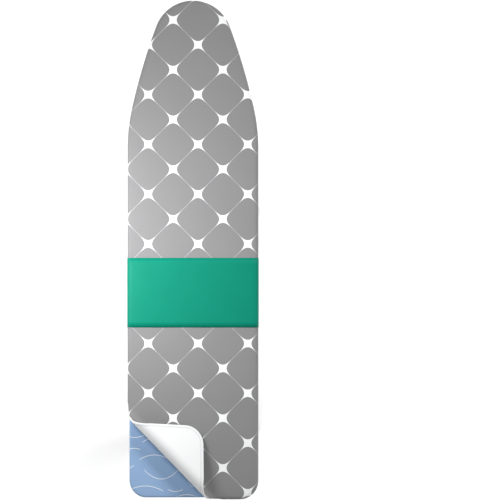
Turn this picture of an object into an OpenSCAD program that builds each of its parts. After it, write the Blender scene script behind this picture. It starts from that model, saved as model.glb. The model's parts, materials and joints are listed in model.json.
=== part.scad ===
// Folding ironing board: padded steel mesh top under two fitted covers, the upper one with
// a corner turned back, on a scissor stand with a stepless clamp for the working height.
// Millimetres. +Z is up and +Y points to the nose. The origin is on the floor, under the
// middle of the board.

/* [Board] */
// Length of the covered board
board_l = 1143; // [1000:1:1372]
// Width of the covered board
board_w = 300; // [250:1:360]
// Height of the ironing surface
work_h = 850; // [700:1:940]
// Radius of the nose
nose_r = 90; // [75:1:108]
// Angle from the long axis at which the nose arc ends
nose_angle = 20.4; // [18:0.1:24]
// Angle from the long axis at which the taper ends
shoulder_angle = 12.4; // [10:0.1:15]
// Radius that joins the taper to the straight sides
shoulder_r = 416; // [340:1:500]
// Radius of the two corners at the wide end
corner_r = 43; // [35:1:52]

/* [Covers] */
// Thickness of the printed cotton of the top cover
cotton_t = 1; // [0.8:0.1:1.2]
// Thickness of the white foam lining of the top cover
foam_t = 3.5; // [2.5:0.1:5]
// Thickness of the cotton of the cover underneath
under_cotton_t = 1; // [0.8:0.1:1.2]
// Thickness of the felt pad on the mesh
felt_t = 3; // [2:0.1:5]
// Room between the outside of the top cover and the rim
side_pad = 7; // [6:0.5:9]
// How far the top cover reaches under the board
hem_w = 27; // [22:1:32]
// Diameter of the elastic casing along the hem
elastic_d = 3.5; // [3:0.1:4.2]
// Distance from the corner to the turned-back edge, along the wide end
peel_x = 185; // [155:1:215]
// Distance from the corner to the turned-back edge, along the side
peel_y = 191; // [160:1:225]
// Outer radius of the roll of the turned-back corner
curl_r = 20.6; // [17:0.1:24]
// Turn of the roll before the flap runs straight
curl_turn = 204; // [196:1:206]

/* [Paper band] */
// Width of the paper band along the board
band_l = 159; // [130:1:190]
// Distance from the wide end to the middle of the band
band_at = 474; // [395:1:570]
// Thickness of the band
band_t = 0.4; // [0.3:0.1:0.6]
// How far the band reaches under the board
band_return = 26; // [20:1:32]

/* [Top frame] */
// Thickness of the mesh sheet
mesh_t = 1.5; // [1:0.1:2]
// Diameter of the rim tube
rim_d = 16; // [13:0.1:20]
// Wall of the rim tube
rim_wall = 1; // [0.8:0.1:1.5]
// Length of one opening of the mesh
hole_l = 36; // [30:1:43]
// Width of one opening of the mesh
hole_w = 28; // [23:1:33]
// Width of the strands between the openings
strand_w = 6; // [4:0.5:8]
// Width of the flat straps under the mesh
strap_w = 34; // [30:1:40]
// Thickness of the straps
strap_t = 3; // [2:0.5:4]

/* [Stand] */
// Length of a leg from its upper pivot to its foot bar
leg_l = 950; // [870:1:1100]
// Distance from the upper pivot to the crossing
cross_at = 445; // [415:1:455]
// Diameter of the leg tubes and foot bars
leg_d = 22; // [18:0.1:27]
// Wall of the leg tubes
leg_wall = 1.2; // [0.8:0.1:2]
// Half the distance between the tubes of the outer leg
outer_x = 95; // [88:1:100]
// Gap between the outer and the inner leg tube
cross_gap = 8; // [6:0.5:10]
// Distance from the back of the board to the fixed pivot
pivot_at = 137; // [130:1:165]
// Drop from the mesh to the pivots
pivot_drop = 42; // [40:1:50]
// Length over the caps of a foot bar
foot_w = 296; // [250:1:300]
// Diameter of the foot caps
cap_d = 30; // [26:1:36]
// Length of a foot cap
cap_l = 34; // [28:1:40]
// Depth of the flat on the tread of a foot cap
tread_flat = 1; // [0.5:0.1:1.5]
// Diameter of the pivot bolts
bolt_d = 8; // [7:0.5:9]
// Diameter of the upper axle of the inner leg
axle_d = 12; // [10:0.5:14]
// Half the running clearance of a bolt or axle in its hole
run_clear = 0.06; // [0.03:0.01:0.1]

/* [Height clamp] */
// Diameter of the guide rods
rod_d = 10; // [8:0.5:12]
// Height of the guide rods above the pivots
rod_rise = 18; // [16:0.5:21]
// Length of the carriage block along the rods
block_l = 44; // [38:1:50]
// Tilt of the clamp plate when it grips
clamp_tilt = 6; // [5:0.5:7]
// Length of the release handle
handle_l = 78; // [65:1:90]
// Thickness of the release handle
handle_t = 7; // [6:0.5:8]

/* [Storage hook] */
// Angle at which the open hook rests
hook_open = 50; // [45:1:60]
// Width of the hook
hook_w = 24; // [20:1:28]

/* [Hidden] */
$fn = 64;
eps = 0.01;

// Heights of the layers, from the ironing surface down
foam_top = work_h - cotton_t;
under_top = foam_top - foam_t;
felt_top = under_top - under_cotton_t;
mesh_top_z = felt_top - felt_t;
mesh_z = mesh_top_z - mesh_t;
rim_z = mesh_z - rim_d / 2;
strap_z = mesh_z - strap_t;
under_hem_z = mesh_z - rim_d - under_cotton_t;
hem_z = under_hem_z - cotton_t - 1;

// Rivets through the straps and the brackets
rivet_d = 5;
rivet_head_d = 9;
rivet_head_t = 2;
rivet_pitch = 28;
rivet_reach = 20;

// Insets of the layers from the outline of the covered board
under_inset = side_pad - under_cotton_t;
skirt_inset = under_inset - 0.5;
rim_clear = 0.2;
rim_inset = side_pad + rim_clear + rim_d / 2;
butt_gap = 0.02;
strap_inset = rim_inset + sqrt(pow(rim_d / 2, 2) - pow(rim_d / 2 - strap_t, 2));

// Ends of the board
back_y = -board_l / 2;
nose_y = board_l / 2;

// Outline arcs, each [centre x, centre y, radius, first angle, last angle]
taper_from_x = nose_r * cos(nose_angle);
taper_to_x = board_w / 2 - shoulder_r * (1 - cos(shoulder_angle));
taper_r = (taper_to_x - taper_from_x) / (cos(shoulder_angle) - cos(nose_angle));
nose_c = [0, nose_y - nose_r];
taper_c = [nose_c[0] - (taper_r - nose_r) * cos(nose_angle),
    nose_c[1] - (taper_r - nose_r) * sin(nose_angle)];
shoulder_c = [board_w / 2 - shoulder_r,
    taper_c[1] + (taper_r - shoulder_r) * sin(shoulder_angle)];
corner_c = [board_w / 2 - corner_r, back_y + corner_r];
ARCS = [
    [corner_c, corner_r, -90, 0, 10],
    [shoulder_c, shoulder_r, 0, shoulder_angle, 4],
    [taper_c, taper_r, shoulder_angle, nose_angle, 8],
    [nose_c, nose_r, nose_angle, 90, 14],
];

// Turned-back corner: a frame with its origin at the square corner of the cover
corner_p = [-board_w / 2, back_y];
peel_n = [1 / peel_x, 1 / peel_y] / norm([1 / peel_x, 1 / peel_y]);
peel_t = [peel_n[1], -peel_n[0]];
fold_d = 1 / norm([1 / peel_x, 1 / peel_y]) + curl_r;
flap_t = cotton_t + foam_t;
curl_mid_r = curl_r - flap_t / 2;
curl_z = work_h + curl_r - flap_t;
flap_end = fold_d - (corner_r * (peel_n[0] + peel_n[1]) - corner_r) - 0.6;

// Stand
pivot_y = back_y + pivot_at;
pivot_z = mesh_z - pivot_drop;
foot_z = cap_d / 2 - tread_flat;
lean = asin((pivot_z - foot_z) / leg_l);
inner_x = outer_x - leg_d - cross_gap;
block_x = inner_x - leg_d / 2 - 3;
slide_y = pivot_y + 2 * cross_at * cos(lean);
slide_end_y = pivot_y + 2 * cross_at;
bar_half = foot_w / 2 - 3;
tube_over = 14;
ear_gap = 1;
body_gap = 0.3;
ear_t = 3;

// Height clamp, placed from the axle of the carriage
bracket_t = 3;
plate_t = 3;
plate_hole_clear = 0.4;
lug_t = 4;
lug_back = 6;
rod_x = block_x - lug_t - rod_d / 2 - 7;
clamp_pin_d = 4;
clamp_pin_y = -block_l / 2 - 8;
clamp_pin_z = rod_rise + rod_d / 2 + 4.5;
plate_drop = 21.5;
handle_pin_d = 5;
handle_pin_z = -10;
arm_x = block_x - lug_t - 1;
stop_l = 8;
stop_d = 10;
stop_gap = 0.4;
stop_x = block_x - lug_t / 2;
rod_z = pivot_z + rod_rise;
rod_y0 = slide_y + clamp_pin_y - lug_back - stop_gap - stop_l - bracket_t;
rod_y1 = slide_end_y + block_l / 2 + stop_gap + stop_l + bracket_t;
rear_strap_y = rod_y0 + bracket_t - 12;
front_strap_y = rod_y1 - 12;

// Storage hook, placed from its pivot
folded_bar_y = slide_end_y - leg_l;
hook_y = folded_bar_y - leg_d / 2 - 2;
hook_z = pivot_z + 21;
hook_pin_d = 6;

// ---------- helpers ----------

function arc(c, r, a0, a1, n) =
    [for (i = [0:n]) let (a = a0 + (a1 - a0) * i / n) [c[0] + r * cos(a), c[1] + r * sin(a)]];

function half_outline(inset) =
    [for (s = ARCS) each arc(s[0], s[1] - inset, s[2], s[3], s[4])];

function outline(inset) =
    let (right = half_outline(inset), last = len(right) - 1)
    concat(right, [for (i = [last - 1:-1:0]) [-right[i][0], right[i][1]]]);

// Half the width of the outline at a distance y along the board
function side_x(y, inset) =
    let (h = half_outline(inset))
    lookup(y, [for (i = [0:len(h) - 1]) [h[i][1] + i * eps / 10, h[i][0]]]);

module slab(inset, z, t) {
    translate([0, 0, z]) linear_extrude(t) polygon(outline(inset));
}

module ring(from, to, z, t) {
    translate([0, 0, z]) linear_extrude(t) difference() {
        polygon(outline(from));
        polygon(outline(to));
    }
}

// All that lies on the corner's side of the fold
module peeled_side() {
    p = corner_p + peel_n * fold_d;
    q = corner_p - peel_n * board_w;
    translate([0, 0, -eps]) linear_extrude(work_h * 2)
        polygon([p + peel_t * board_w, p - peel_t * board_w,
            q - peel_t * board_w, q + peel_t * board_w]);
}

module along_x(x, y, z, d, l) {
    translate([x, y, z]) rotate([0, 90, 0]) cylinder(d = d, h = l, center = true);
}

module along_y(x, y, z, d, l) {
    translate([x, y, z]) rotate([-90, 0, 0]) cylinder(d = d, h = l);
}

module block(x, y, z) {
    translate([x[0], y[0], z[0]]) cube([x[1] - x[0], y[1] - y[0], z[1] - z[0]]);
}

// The outer leg lies along +Y from its pivot here, and the inner leg along -Y from its axle
module on_outer_leg() {
    translate([0, pivot_y, pivot_z]) rotate([-lean, 0, 0]) children();
}

module on_inner_leg() {
    translate([0, slide_y, pivot_z]) rotate([lean, 0, 0]) children();
}

module on_carriage() {
    translate([0, slide_y, pivot_z]) children();
}

module on_both_sides() {
    for (side = [-1, 1]) scale_x(side) children();
}

module scale_x(side) {
    if (side < 0) mirror([1, 0, 0]) children();
    else children();
}

// ---------- covers and pads ----------

module grey_cover() {
    color("darkgray") difference() {
        union() {
            slab(0, foam_top, cotton_t);
            ring(0, cotton_t, under_top, foam_t + eps);
            ring(0, skirt_inset, hem_z, under_top - hem_z);
            ring(skirt_inset, hem_w, hem_z, cotton_t + 1);
        }
        peeled_side();
    }
}

module foam_lining() {
    color("white") difference() {
        slab(cotton_t, under_top, foam_t);
        peeled_side();
    }
}

module hem_elastic() {
    color("dimgray") difference() {
        ring(hem_w, hem_w + elastic_d, hem_z, elastic_d);
        peeled_side();
    }
}

module blue_cover() {
    color("cornflowerblue") {
        slab(under_inset, felt_top, under_cotton_t);
        ring(under_inset, side_pad, under_hem_z, felt_top - under_hem_z);
        ring(side_pad, hem_w - 4, under_hem_z, under_cotton_t);
    }
}

module felt_pad() {
    color("whitesmoke") slab(side_pad, mesh_top_z, felt_t);
}

module paper_band() {
    w = board_w / 2;
    y = [back_y + band_at - band_l / 2, back_y + band_at + band_l / 2];
    color("seagreen") difference() {
        block([-w - band_t, w + band_t], y, [hem_z - band_t, work_h + band_t]);
        block([-w, w], [y[0] - 1, y[1] + 1], [hem_z, work_h]);
        block([band_return - w, w - band_return], [y[0] - 1, y[1] + 1], [hem_z - 1, hem_z + 1]);
    }
}

// Half the corner's chord in the flat cover, at a distance m from the square corner
function round_chord(m) =
    sqrt(max(0, corner_r * corner_r - pow(m - corner_r * (peel_n[0] + peel_n[1]), 2)));

function chord_mid() = corner_r * (peel_n[1] - peel_n[0]);

function chord_low(m) = m < corner_r * peel_n[1] ?
    chord_mid() - round_chord(m) : -m * peel_n[0] / peel_n[1];

function chord_high(m) = m < corner_r * peel_n[0] ?
    chord_mid() + round_chord(m) : m * peel_n[1] / peel_n[0];

// A point of the flap: s along the cloth from the fold, t across, h off the cloth's middle
function flap_point(s, t, h) =
    let (
        turn = min(curl_turn, s / curl_mid_r * 180 / PI),
        run = s - curl_mid_r * turn * PI / 180,
        reach = (curl_mid_r + h) * sin(turn) + run * cos(turn),
        z = curl_z - (curl_mid_r + h) * cos(turn) + run * sin(turn),
        p = corner_p + peel_n * (fold_d - reach) + peel_t * t
    ) [p[0], p[1], z];

module cover_flap() {
    rows = 34;
    cols = 14;
    n = cols + 1;
    layer = (rows + 1) * n;
    points = [for (h = [-flap_t / 2, flap_t / 2], i = [0:rows], j = [0:cols])
        let (
            s = flap_end * i / rows,
            m = fold_d - s,
            t = chord_low(m) + (chord_high(m) - chord_low(m)) * j / cols
        ) flap_point(s, t, h)];
    faces = concat(
        [for (i = [0:rows - 1], j = [0:cols - 1])
            let (a = i * n + j) [a, a + 1, a + n + 1, a + n]],
        [for (i = [0:rows - 1], j = [0:cols - 1])
            let (a = layer + i * n + j) [a, a + n, a + n + 1, a + 1]],
        [for (i = [0:rows - 1], j = [0, cols])
            let (a = i * n + j, b = a + layer)
            j == 0 ? [a, a + n, b + n, b] : [a, b, b + n, a + n]],
        [for (j = [0:cols - 1], i = [0, rows])
            let (a = i * n + j, b = a + layer)
            i == 0 ? [a, b, b + 1, a + 1] : [a, a + 1, b + 1, b]]
    );
    color("white") polyhedron(points, faces);
}

// ---------- mesh and rim ----------

module mesh_top() {
    step = [hole_w + strand_w, hole_l + strand_w];
    rows = floor(board_l / step[1]);
    cols = floor(board_w / step[0]) + 1;
    diamond = [[hole_w / 2, 0], [0, hole_l / 2], [-hole_w / 2, 0], [0, -hole_l / 2]];
    color("silver") translate([0, 0, mesh_z]) linear_extrude(mesh_t) difference() {
        polygon(outline(side_pad));
        for (i = [-rows:rows], j = [-cols:cols]) {
            x = j * step[0] / 2;
            y = i * step[1] / 2;
            inside = y > back_y + rim_inset + hole_l / 2 && y < nose_y - rim_inset - hole_l / 2
                && abs(x) < side_x(y + hole_l / 4, rim_inset) - hole_w / 2;
            if ((i + j) % 2 == 0 && inside) translate([x, y]) polygon(diamond);
        }
    }
}

module rim_section(x) {
    translate([x, 0]) difference() {
        circle(d = rim_d);
        circle(d = rim_d - 2 * rim_wall);
    }
}

// The bent stretches meet end to end, each shorter by half the gap at both ends
module rim_arc(centre, r, from, to, gap = 0) {
    trim = gap / 2 / r * 180 / PI;
    translate([centre[0], centre[1], rim_z]) rotate([0, 0, from + trim])
        rotate_extrude(angle = to - from - 2 * trim) rim_section(r);
}

module rim_run(x, y0, y1) {
    translate([x, y0, rim_z]) rotate([-90, 0, 0]) linear_extrude(y1 - y0) rim_section(0);
}

module rim_left() {
    color("silver") rim_run(rim_inset - board_w / 2, corner_c[1], shoulder_c[1]);
}

module rim_right() {
    color("silver") rim_run(board_w / 2 - rim_inset, corner_c[1], shoulder_c[1]);
}

module rim_back() {
    color("silver") {
        on_both_sides() rim_arc(corner_c, corner_r - rim_inset, -90, 0);
        translate([-corner_c[0], back_y + rim_inset, rim_z]) rotate([0, 90, 0])
            linear_extrude(2 * corner_c[0]) rim_section(0);
    }
}

module rim_nose() {
    color("silver") {
        rim_arc(nose_c, nose_r - rim_inset, nose_angle, 180 - nose_angle, butt_gap);
        on_both_sides() for (s = [ARCS[1], ARCS[2]])
            rim_arc(s[0], s[1] - rim_inset, s[2], s[3], butt_gap);
    }
}

// ---------- straps and brackets under the mesh ----------

function rivet_spots() = concat(
    [for (x = [-outer_x, outer_x], y = [-rivet_pitch / 2, rivet_pitch / 2]) [x, pivot_y + y]],
    [for (x = [-rod_x - 7, rod_x + 7], y = [rear_strap_y, front_strap_y]) [x, y]],
    [for (x = [-9, 9]) [x, hook_y - 9]]
);

module rivet_holes() {
    for (p = rivet_spots()) translate([p[0], p[1], strap_z - rivet_reach])
        cylinder(d = rivet_d + 2 * run_clear, h = rivet_reach + strap_t + eps);
}

module bracket_rivets() {
    color("silver") for (p = rivet_spots()) translate([p[0], p[1], 0]) {
        translate([0, 0, strap_z - bracket_t - rivet_head_t]) cylinder(d = rivet_head_d, h = rivet_head_t);
        translate([0, 0, strap_z - bracket_t - eps]) cylinder(d = rivet_d, h = bracket_t + strap_t);
    }
}

module strap(y) {
    color("silver") difference() {
        intersection() {
            slab(strap_inset, strap_z, strap_t);
            block([-board_w, board_w], [y - strap_w / 2, y + strap_w / 2], [0, work_h]);
        }
        rivet_holes();
    }
}

module pivot_bracket(side) {
    half_gap = leg_d / 2 + ear_gap;
    base = [pivot_y - 20, pivot_y + 20];
    color("gainsboro") scale_x(side) difference() {
        union() {
            block([outer_x - half_gap - ear_t, outer_x + half_gap + ear_t], base,
                [strap_z - bracket_t, strap_z]);
            for (x = [outer_x - half_gap - ear_t, outer_x + half_gap])
                block([x, x + ear_t], [pivot_y - 13, pivot_y + 13],
                    [pivot_z - 13, strap_z - bracket_t + eps]);
        }
        along_x(outer_x, pivot_y, pivot_z, bolt_d + 2 * run_clear, 4 * leg_d);
        rivet_holes();
    }
}

module pivot_bolts() {
    half_gap = leg_d / 2 + ear_gap + ear_t;
    color("dimgray") on_both_sides() {
        along_x(outer_x, pivot_y, pivot_z, bolt_d, 2 * half_gap);
        along_x(outer_x + half_gap + 2 - eps, pivot_y, pivot_z, 14, 4);
        along_x(outer_x - half_gap - 1 + eps, pivot_y, pivot_z, 12, 2);
    }
}

module guide_rod(x) {
    color("lightgray") along_y(x, rod_y0, rod_z, rod_d, rod_y1 - rod_y0);
}

// A bent plate: it stands across the rods, and its flange lies under a strap
module rod_bracket(y, flange_y, wing_x) {
    width = rod_x + 12;
    color("gainsboro") difference() {
        union() {
            block([-width, width], [y, y + bracket_t], [rod_z - rod_d, strap_z]);
            block([-wing_x, wing_x], [y, y + bracket_t], [rod_z + 2, strap_z]);
            block([-width, width], [flange_y, flange_y + 24], [strap_z - bracket_t, strap_z]);
        }
        for (x = [-rod_x, rod_x])
            along_y(x, y - 1, rod_z, rod_d + 2 * run_clear, bracket_t + 2);
        rivet_holes();
    }
}

// Two buffers meet the block's ears at full height, and two rings meet it when folded
module travel_stops() {
    color("black") {
        for (x = [-stop_x, stop_x])
            along_y(x, rod_y0 + bracket_t, pivot_z + clamp_pin_z - 1, stop_d, stop_l);
        for (x = [-rod_x, rod_x]) difference() {
            along_y(x, rod_y1 - bracket_t - stop_l, rod_z, rod_d + 6, stop_l);
            along_y(x, rod_y1 - 4 * stop_l, rod_z, rod_d, 4 * stop_l);
        }
    }
}

// ---------- storage hook ----------

module hook_bracket() {
    half = hook_w / 2 + 1;
    color("gainsboro") difference() {
        union() {
            block([-half - ear_t, half + ear_t], [hook_y - 16, hook_y + 8],
                [strap_z - bracket_t, strap_z]);
            for (x = [-half - ear_t, half])
                block([x, x + ear_t], [hook_y - 7, hook_y + 7], [hook_z - 7, strap_z - eps]);
        }
        along_x(0, hook_y, hook_z, hook_pin_d + 2 * run_clear, 3 * hook_w);
        rivet_holes();
    }
}

module hook_pin() {
    half = hook_w / 2 + 1 + ear_t;
    color("dimgray") {
        along_x(0, hook_y, hook_z, hook_pin_d, 2 * half);
        for (side = [-1, 1]) along_x(side * (half + 0.75 - eps), hook_y, hook_z, 9, 1.5);
    }
}

// The hook hangs straight down when it holds the folded foot bar
module storage_hook() {
    bar = [folded_bar_y - hook_y, pivot_z - hook_z];
    seat_r = leg_d / 2 + 0.6;
    wall = 5;
    outer_r = seat_r + wall;
    color("black") translate([0, hook_y, hook_z]) rotate([-hook_open, 0, 0])
        rotate([90, 0, 90]) linear_extrude(hook_w, center = true) difference() {
            union() {
                circle(d = hook_pin_d + 8);
                translate([bar[0] - outer_r, bar[1]]) square([wall + 2, -bar[1]]);
                intersection() {
                    translate(bar) circle(r = outer_r);
                    translate([bar[0] - outer_r, bar[1] - outer_r])
                        square([outer_r + seat_r * 0.8, outer_r + eps]);
                }
            }
            circle(d = hook_pin_d + 2 * run_clear);
            translate(bar) circle(r = seat_r);
        }
}

// ---------- legs ----------

module leg_tube(x, from, to, cross_y, top_hole_d) {
    color("lightgray") difference() {
        along_y(x, min(from, to), 0, leg_d, abs(to - from));
        along_y(x, min(from, to) - 1, 0, leg_d - 2 * leg_wall, abs(to - from) + 2);
        along_x(x, 0, 0, top_hole_d + 2 * run_clear, 2 * leg_d);
        along_x(x, cross_y, 0, bolt_d + 2 * run_clear, 2 * leg_d);
        along_x(x, sign(cross_y) * leg_l, 0, leg_d, 2 * leg_d);
    }
}

module outer_tube(side) {
    on_outer_leg() leg_tube(side * outer_x, -tube_over, leg_l, cross_at, bolt_d);
}

module inner_tube(side) {
    on_inner_leg() leg_tube(side * inner_x, tube_over, -leg_l, -cross_at, axle_d);
}

module foot_bar() {
    color("lightgray") difference() {
        along_x(0, 0, 0, leg_d, 2 * bar_half);
        along_x(0, 0, 0, leg_d - 2 * leg_wall, 2 * bar_half + 2);
    }
}

module foot_cap(y, side) {
    color("black") translate([0, y, foot_z]) scale_x(side) difference() {
        along_x(foot_w / 2 - cap_l / 2, 0, 0, cap_d, cap_l);
        along_x(bar_half - cap_l / 2, 0, 0, leg_d + 2 * run_clear, cap_l + 2 * eps);
        block([0, foot_w], [-cap_d, cap_d], [-cap_d, -foot_z]);
    }
}

module tube_plugs(x, end) {
    color("black") for (side = [-1, 1]) {
        along_y(side * x, min(end, end + sign(end) * 2.5), 0, leg_d, 2.5);
        along_y(side * x, min(end, end - sign(end) * 5), 0, leg_d - 2 * leg_wall - 0.2, 5);
    }
}

outer_foot_y = pivot_y + leg_l * cos(lean);
inner_foot_y = slide_y - leg_l * cos(lean);

// A flat bar under both tubes, with pads that keep it clear of the inner leg
module outer_brace() {
    at = leg_l * 0.74;
    pad = 2;
    color("lightgray") on_outer_leg() difference() {
        union() {
            block([-outer_x - leg_d / 2, outer_x + leg_d / 2], [at, at + 25],
                [-leg_d / 2 - pad - 3, -leg_d / 2 - pad]);
            for (x = [-outer_x - leg_d / 2, outer_x - leg_d / 2])
                block([x, x + leg_d], [at, at + 25], [-leg_d / 2 - pad - eps, -leg_d / 4]);
        }
        for (x = [-outer_x, outer_x]) along_y(x, at - 1, 0, leg_d, 27);
    }
}

module inner_brace() {
    at = -leg_l * 0.69;
    color("lightgray") on_inner_leg() difference() {
        along_x(0, at, 0, 16, 2 * inner_x);
        along_x(0, at, 0, 14, 2 * inner_x + 2);
        for (x = [-inner_x, inner_x]) along_y(x, at - leg_d, 0, leg_d, 2 * leg_d);
    }
}

module inner_axle() {
    color("silver") on_inner_leg() along_x(0, 0, 0, axle_d, 2 * (inner_x + leg_d / 2 + 3));
}

module axle_clips() {
    color("dimgray") on_inner_leg() on_both_sides() difference() {
        along_x(inner_x + leg_d / 2 + 0.8, 0, 0, axle_d + 6, 1.6);
        along_x(inner_x, 0, 0, axle_d, 60);
    }
}

module cross_bolts() {
    from = inner_x - leg_d / 2;
    to = outer_x + leg_d / 2 + body_gap;
    color("dimgray") on_inner_leg() on_both_sides() {
        along_x((from + to) / 2, -cross_at, 0, bolt_d, to - from);
        along_x(to + 2 - eps, -cross_at, 0, 14, 4);
        along_x(from - 3 + eps, -cross_at, 0, bolt_d - 2, 6);
    }
}

module cross_spacers() {
    from = inner_x + leg_d / 2;
    to = outer_x - leg_d / 2 - body_gap;
    color("black") on_inner_leg() on_both_sides() difference() {
        along_x((from + to) / 2, -cross_at, 0, 20, to - from);
        along_x((from + to) / 2, -cross_at, 0, bolt_d, 2 * cross_gap);
    }
}

module cross_nuts() {
    color("black") on_inner_leg() on_both_sides() difference() {
        along_x(inner_x - leg_d / 2 - 2, -cross_at, 0, 13, 4);
        along_x(inner_x - leg_d / 2 - 2, -cross_at, 0, bolt_d - 2, 6);
    }
}

// ---------- height clamp ----------

module carriage_block() {
    rear = -block_l / 2;
    color("black") on_carriage() difference() {
        union() {
            block([-block_x, block_x], [rear, -rear], [-axle_d / 2 - 5, rod_rise + rod_d / 2 + 5]);
            for (x = [-block_x, block_x - lug_t]) {
                block([x, x + lug_t], [clamp_pin_y - lug_back, rear + eps],
                    [clamp_pin_z - 7, clamp_pin_z + 4.5]);
                block([x, x + lug_t], [clamp_pin_y - lug_back, rear + lug_back],
                    [handle_pin_z - 5, handle_pin_z + 6]);
            }
        }
        along_x(0, 0, 0, axle_d + 2 * run_clear, 3 * block_x);
        along_x(0, clamp_pin_y, clamp_pin_z, clamp_pin_d + 2 * run_clear, 3 * block_x);
        along_x(0, clamp_pin_y, handle_pin_z, handle_pin_d + 2 * run_clear, 3 * block_x);
        for (x = [-rod_x, rod_x]) along_y(x, rear - 1, rod_rise, rod_d + 0.3, block_l + 2);
    }
}

module clamp_plate() {
    half = block_x - lug_t - 0.6;
    color("silver") on_carriage() translate([0, clamp_pin_y, clamp_pin_z])
        rotate([-clamp_tilt, 0, 0]) difference() {
            union() {
                block([-half, half], [-plate_t / 2, plate_t / 2], [-plate_drop, 1]);
                along_x(0, 0, 0, clamp_pin_d + 3, 2 * half);
            }
            along_x(0, 0, 0, clamp_pin_d + 2 * run_clear, 3 * half);
            for (x = [-rod_x, rod_x])
                along_y(x, -10, rod_rise - clamp_pin_z, rod_d + 2 * plate_hole_clear, 20);
        }
}

module clamp_pin() {
    color("dimgray") on_carriage() along_x(0, clamp_pin_y, clamp_pin_z, clamp_pin_d, 2 * block_x);
}

module handle_pin() {
    color("dimgray") on_carriage() along_x(0, clamp_pin_y, handle_pin_z, handle_pin_d, 2 * block_x);
}

// Two arms on a hub, and a finger that pushes the foot of the clamp plate
module release_handle() {
    hub = handle_pin_d + 5;
    finger_y = -plate_drop * sin(clamp_tilt) - plate_t / 2 - 0.5;
    finger_z = clamp_pin_z - plate_drop * cos(clamp_tilt) - handle_pin_z + 3;
    color("black") on_carriage() translate([0, clamp_pin_y, handle_pin_z]) difference() {
        union() {
            for (x = [-arm_x, arm_x - handle_t]) {
                along_x(x + handle_t / 2, 0, 0, hub, handle_t);
                block([x, x + handle_t], [-handle_l, 0], [-handle_t / 2, handle_t / 2]);
                block([x, x + handle_t], [finger_y - 4, finger_y], [0, finger_z]);
            }
            block([-arm_x, arm_x], [-handle_l - handle_t, -handle_l],
                [-handle_t / 2, handle_t / 2]);
        }
        along_x(0, 0, 0, handle_pin_d + 2 * run_clear, 3 * block_x);
    }
}

module handle_grip() {
    y = clamp_pin_y - handle_l - handle_t / 2;
    half = arm_x - handle_t - 3;
    color("dimgray") on_carriage() difference() {
        along_x(0, y, handle_pin_z, handle_t * 2, 2 * half);
        block([-block_x, block_x], [y - handle_t / 2, y + handle_t / 2],
            [handle_pin_z - handle_t / 2, handle_pin_z + handle_t / 2]);
    }
}

// A torsion spring round the handle's pin, with one leg to the block and one along the arm
module return_spring() {
    turns = 6;
    steps = 14;
    sides = 6;
    wire_r = 0.7;
    coil_r = handle_pin_d / 2 + wire_r + 0.5;
    pitch = 2.6;
    to_x = arm_x - handle_t - wire_r - body_gap;
    from_x = to_x - turns * pitch;
    count = turns * steps;
    // Each stop along the wire is [x, distance past the coil, angle round the pin]
    stops = concat(
        [[from_x, -clamp_pin_y - block_l / 2 - body_gap, 90]],
        [for (i = [0:count]) [from_x + i * pitch / steps, 0, 90 + i * 360 / steps]],
        [[to_x, -12, 90]]
    );
    points = [for (p = stops, k = [0:sides - 1])
        let (b = k * 360 / sides, r = coil_r + wire_r * cos(b))
        [p[0] + wire_r * sin(b), p[1] + r * cos(p[2]), r * sin(p[2])]];
    last = len(stops) - 1;
    faces = concat(
        [[for (k = [0:sides - 1]) k]],
        [for (i = [0:last - 1], k = [0:sides - 1])
            let (a = i * sides, n = (k + 1) % sides)
            [a + k, a + sides + k, a + sides + n, a + n]],
        [[for (k = [sides - 1:-1:0]) last * sides + k]]
    );
    color("silver") on_carriage() translate([0, clamp_pin_y, handle_pin_z])
        polyhedron(points, faces);
}

// ---------- nodes ----------

grey_cover();
cover_flap();
foam_lining();
hem_elastic();
blue_cover();
felt_pad();
paper_band();
mesh_top();
rim_left();
rim_right();
rim_back();
rim_nose();
strap(hook_y - 9);  // strap_hook
strap(pivot_y);  // strap_pivot
strap(rear_strap_y);  // strap_rear
strap(front_strap_y);  // strap_front
pivot_bracket(-1);  // pivot_bracket_left
pivot_bracket(1);  // pivot_bracket_right
pivot_bolts();
guide_rod(-rod_x);  // guide_rod_left
guide_rod(rod_x);  // guide_rod_right
rod_bracket(rod_y0, rod_y0 + bracket_t - 24, stop_x + 6);  // rod_bracket_rear
rod_bracket(rod_y1 - bracket_t, rod_y1 - 24, rod_x + 12);  // rod_bracket_front
travel_stops();
bracket_rivets();
hook_bracket();
hook_pin();
storage_hook();
outer_tube(-1);  // outer_tube_left
outer_tube(1);  // outer_tube_right
translate([0, outer_foot_y, foot_z]) foot_bar();  // outer_foot_bar
outer_brace();
foot_cap(outer_foot_y, -1);  // outer_cap_left
foot_cap(outer_foot_y, 1);  // outer_cap_right
on_outer_leg() tube_plugs(outer_x, -tube_over);  // outer_plugs
inner_tube(-1);  // inner_tube_left
inner_tube(1);  // inner_tube_right
translate([0, inner_foot_y, foot_z]) foot_bar();  // inner_foot_bar
inner_brace();
foot_cap(inner_foot_y, -1);  // inner_cap_left
foot_cap(inner_foot_y, 1);  // inner_cap_right
on_inner_leg() tube_plugs(inner_x, tube_over);  // inner_plugs
inner_axle();
axle_clips();
cross_bolts();
cross_spacers();
cross_nuts();
carriage_block();
handle_pin();
return_spring();
release_handle();
handle_grip();
clamp_plate();
clamp_pin();
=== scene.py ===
# %% [markdown]
# # A folding ironing board
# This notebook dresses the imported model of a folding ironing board. The frame, the stand and all that
# moves come from the CAD model and stay where they are. What is made here is what CAD can't say: cloth
# that curves over an edge, a cover with its corner rolled back, a print, a weave, rubber and paint.

# %% Load the frame
import json
import math

import bmesh
import bpy
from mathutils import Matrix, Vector, noise


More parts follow.
